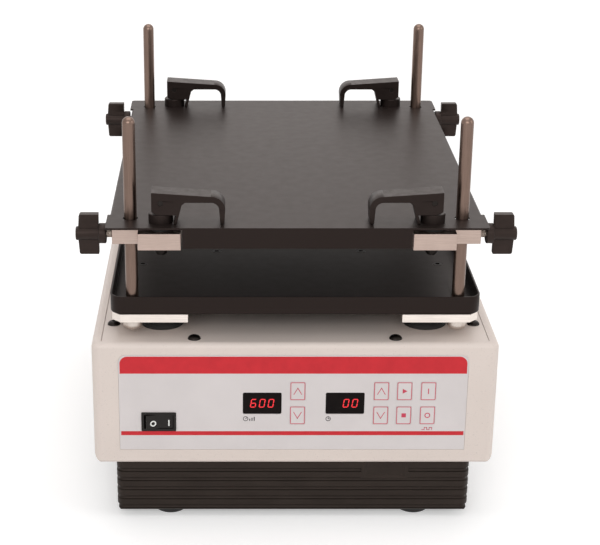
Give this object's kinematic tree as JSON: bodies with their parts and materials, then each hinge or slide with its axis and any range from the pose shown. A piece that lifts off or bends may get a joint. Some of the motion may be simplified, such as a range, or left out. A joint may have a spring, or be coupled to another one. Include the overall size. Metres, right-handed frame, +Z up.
{
  "type": "microplate shaker",
  "caption": "Bench orbital shaker with a flat tray on eccentric cranks, a height-adjustable clamp cover on guide rods with cam levers, and a front panel with displays and keys.",
  "frame": {"origin": "on the bench under the middle of the instrument, at the bottom of its feet", "axes": "+Z up, the control panel faces -Y, +X to the viewer's right facing the panel"},
  "size_m": [0.3276, 0.361, 0.3211],
  "materials": {
    "housing_paint": "light texture powder coat",
    "black_moulding": "satin moulded plastic",
    "black_rubber": "matt",
    "black_sheet": "satin black powder coat",
    "panel_film": "satin printed film",
    "display_window": "polished smoked window",
    "board": "green laminate",
    "machined_aluminium": "machined, fine brushing",
    "polished_steel": "ground and polished bar",
    "bright_steel": "zinc plated",
    "black_steel": "black oxide",
    "cast_plate": "as cast, machined bores",
    "motor_paint": "satin",
    "nylon": "natural"
  },
  "bodies": {
    "root": {"base_pan": "black_moulding", "feet": "black_rubber", "housing_shell": "housing_paint", "top_deck": "housing_paint", "case_screws": "black_steel", "panel_overlay": "panel_film", "displays": "display_window", "control_board": "board", "switch_bezel": "black_moulding", "power_inlet": "black_moulding", "power_supply": "bright_steel", "motor": "motor_paint", "drive_belt": "black_rubber", "mechanism_plate": "cast_plate", "plate_posts": "machined_aluminium", "shaft_bearings": "polished_steel", "idler_boots": "black_rubber"},
    "rocker": {"switch_rocker": "black_moulding"},
    "speed_up_button": {"key_speed_up": "panel_film"},
    "speed_down_button": {"key_speed_down": "panel_film"},
    "time_up_button": {"key_time_up": "panel_film"},
    "time_down_button": {"key_time_down": "panel_film"},
    "run_button": {"key_run": "panel_film"},
    "stop_button": {"key_stop": "panel_film"},
    "pulse_on_button": {"key_pulse_on": "panel_film"},
    "pulse_off_button": {"key_pulse_off": "panel_film"},
    "motor_rotor": {"motor_pulley": "machined_aluminium"},
    "main_crank": {"crank_shaft": "polished_steel", "crank_pulley": "machined_aluminium", "counterweight": "bright_steel"},
    "idler_front_left": {"idler_crank_front_left": "polished_steel"},
    "idler_front_right": {"idler_crank_front_right": "polished_steel"},
    "idler_back_left": {"idler_crank_back_left": "polished_steel"},
    "idler_back_right": {"idler_crank_back_right": "polished_steel"},
    "tray": {"tray_pan": "black_sheet", "tray_bars": "machined_aluminium", "cross_plate": "machined_aluminium", "tray_bearings": "polished_steel", "tray_screws": "black_steel", "guide_rods": "polished_steel", "rod_screws": "bright_steel"},
    "cover": {"cover_plate": "black_sheet", "clamp_bars": "machined_aluminium", "spacer_washers": "black_rubber", "lever_hubs": "black_moulding", "lever_studs": "black_steel", "lever_pins": "bright_steel", "stud_nuts": "black_steel"},
    "lever_front_left": {"cam_lever_front_left": "black_moulding"},
    "pad_front_left": {"screw_pad_front_left": "nylon"},
    "screw_front_left": {"thumb_screw_front_left": "black_moulding"},
    "lever_front_right": {"cam_lever_front_right": "black_moulding"},
    "pad_front_right": {"screw_pad_front_right": "nylon"},
    "screw_front_right": {"thumb_screw_front_right": "black_moulding"},
    "lever_back_left": {"cam_lever_back_left": "black_moulding"},
    "pad_back_left": {"screw_pad_back_left": "nylon"},
    "screw_back_left": {"thumb_screw_back_left": "black_moulding"},
    "lever_back_right": {"cam_lever_back_right": "black_moulding"},
    "pad_back_right": {"screw_pad_back_right": "nylon"},
    "screw_back_right": {"thumb_screw_back_right": "black_moulding"}
  },
  "joints": [
    {"name": "main_crank_spin", "type": "hinge", "parent": "root", "child": "main_crank", "pos_m": [0, 0.0015, 0.1505], "axis": [0, 0, 1], "continuous": true},
    {"name": "tray_orbit", "type": "hinge", "parent": "main_crank", "child": "tray", "pos_m": [0, 0, 0.16265], "axis": [0, 0, 1], "continuous": true},
    {"name": "motor_spin", "type": "hinge", "parent": "root", "child": "motor_rotor", "pos_m": [0, 0.1065, 0.1], "axis": [0, 0, 1], "continuous": true},
    {"name": "idler_spin_front_left", "type": "hinge", "parent": "root", "child": "idler_front_left", "pos_m": [-0.1015, -0.1345, 0.1505], "axis": [0, 0, 1], "continuous": true},
    {"name": "idler_spin_front_right", "type": "hinge", "parent": "root", "child": "idler_front_right", "pos_m": [0.1015, -0.1345, 0.1505], "axis": [0, 0, 1], "continuous": true},
    {"name": "idler_spin_back_left", "type": "hinge", "parent": "root", "child": "idler_back_left", "pos_m": [-0.1015, 0.1375, 0.1505], "axis": [0, 0, 1], "continuous": true},
    {"name": "idler_spin_back_right", "type": "hinge", "parent": "root", "child": "idler_back_right", "pos_m": [0.1015, 0.1375, 0.1505], "axis": [0, 0, 1], "continuous": true},
    {"name": "cover_slide", "type": "slide", "parent": "tray", "child": "cover", "axis": [0, 0, 1], "range_m": [-0.03, 0.065]},
    {"name": "cam_lever_turn_front_left", "type": "hinge", "parent": "cover", "child": "lever_front_left", "pos_m": [-0.1002, -0.1645, 0.2598], "axis": [0, -1, 0], "range_deg": [0, 90]},
    {"name": "screw_pad_slide_front_left", "type": "slide", "parent": "cover", "child": "pad_front_left", "axis": [-1, 0, 0], "range_m": [0, 0.0015]},
    {"name": "thumb_screw_turn_front_left", "type": "hinge", "parent": "pad_front_left", "child": "screw_front_left", "pos_m": [-0.15, -0.1577, 0.23165], "axis": [-1, 0, 0], "range_deg": [0, 540]},
    {"name": "cam_lever_turn_front_right", "type": "hinge", "parent": "cover", "child": "lever_front_right", "pos_m": [0.1002, -0.1645, 0.2598], "axis": [0, 1, 0], "range_deg": [0, 90]},
    {"name": "screw_pad_slide_front_right", "type": "slide", "parent": "cover", "child": "pad_front_right", "axis": [1, 0, 0], "range_m": [0, 0.0015]},
    {"name": "thumb_screw_turn_front_right", "type": "hinge", "parent": "pad_front_right", "child": "screw_front_right", "pos_m": [0.15, -0.1577, 0.23165], "axis": [1, 0, 0], "range_deg": [0, 540]},
    {"name": "cam_lever_turn_back_left", "type": "hinge", "parent": "cover", "child": "lever_back_left", "pos_m": [-0.1002, 0.1645, 0.2598], "axis": [0, -1, 0], "range_deg": [0, 90]},
    {"name": "screw_pad_slide_back_left", "type": "slide", "parent": "cover", "child": "pad_back_left", "axis": [-1, 0, 0], "range_m": [0, 0.0015]},
    {"name": "thumb_screw_turn_back_left", "type": "hinge", "parent": "pad_back_left", "child": "screw_back_left", "pos_m": [-0.15, 0.1577, 0.23165], "axis": [-1, 0, 0], "range_deg": [0, 540]},
    {"name": "cam_lever_turn_back_right", "type": "hinge", "parent": "cover", "child": "lever_back_right", "pos_m": [0.1002, 0.1645, 0.2598], "axis": [0, 1, 0], "range_deg": [0, 90]},
    {"name": "screw_pad_slide_back_right", "type": "slide", "parent": "cover", "child": "pad_back_right", "axis": [1, 0, 0], "range_m": [0, 0.0015]},
    {"name": "thumb_screw_turn_back_right", "type": "hinge", "parent": "pad_back_right", "child": "screw_back_right", "pos_m": [0.15, 0.1577, 0.23165], "axis": [1, 0, 0], "range_deg": [0, 540]},
    {"name": "rocker_tilt", "type": "hinge", "parent": "root", "child": "rocker", "pos_m": [-0.1036, -0.1732, 0.0857], "axis": [0, 0, -1], "range_deg": [0, 14.8]},
    {"name": "speed_up_press", "type": "slide", "parent": "root", "child": "speed_up_button", "axis": [0, 1, 0], "range_m": [0, 0.0004], "stiffness_N_per_m": 5000},
    {"name": "speed_down_press", "type": "slide", "parent": "root", "child": "speed_down_button", "axis": [0, 1, 0], "range_m": [0, 0.0004], "stiffness_N_per_m": 5000},
    {"name": "time_up_press", "type": "slide", "parent": "root", "child": "time_up_button", "axis": [0, 1, 0], "range_m": [0, 0.0004], "stiffness_N_per_m": 5000},
    {"name": "time_down_press", "type": "slide", "parent": "root", "child": "time_down_button", "axis": [0, 1, 0], "range_m": [0, 0.0004], "stiffness_N_per_m": 5000},
    {"name": "run_press", "type": "slide", "parent": "root", "child": "run_button", "axis": [0, 1, 0], "range_m": [0, 0.0004], "stiffness_N_per_m": 5000},
    {"name": "stop_press", "type": "slide", "parent": "root", "child": "stop_button", "axis": [0, 1, 0], "range_m": [0, 0.0004], "stiffness_N_per_m": 5000},
    {"name": "pulse_on_press", "type": "slide", "parent": "root", "child": "pulse_on_button", "axis": [0, 1, 0], "range_m": [0, 0.0004], "stiffness_N_per_m": 5000},
    {"name": "pulse_off_press", "type": "slide", "parent": "root", "child": "pulse_off_button", "axis": [0, 1, 0], "range_m": [0, 0.0004], "stiffness_N_per_m": 5000}
  ],
  "couplings": [
    {"joint": "tray_orbit", "follows": "main_crank_spin", "ratio": -1},
    {"joint": "motor_spin", "follows": "main_crank_spin", "ratio": 3},
    {"joint": "idler_spin_front_left", "follows": "main_crank_spin", "ratio": 1},
    {"joint": "idler_spin_front_right", "follows": "main_crank_spin", "ratio": 1},
    {"joint": "idler_spin_back_left", "follows": "main_crank_spin", "ratio": 1},
    {"joint": "idler_spin_back_right", "follows": "main_crank_spin", "ratio": 1},
    {"joint": "thumb_screw_turn_front_left", "follows": "screw_pad_slide_front_left", "rad_per_m": 6283.2},
    {"joint": "thumb_screw_turn_front_right", "follows": "screw_pad_slide_front_right", "rad_per_m": 6283.2},
    {"joint": "thumb_screw_turn_back_left", "follows": "screw_pad_slide_back_left", "rad_per_m": 6283.2},
    {"joint": "thumb_screw_turn_back_right", "follows": "screw_pad_slide_back_right", "rad_per_m": 6283.2}
  ]
}
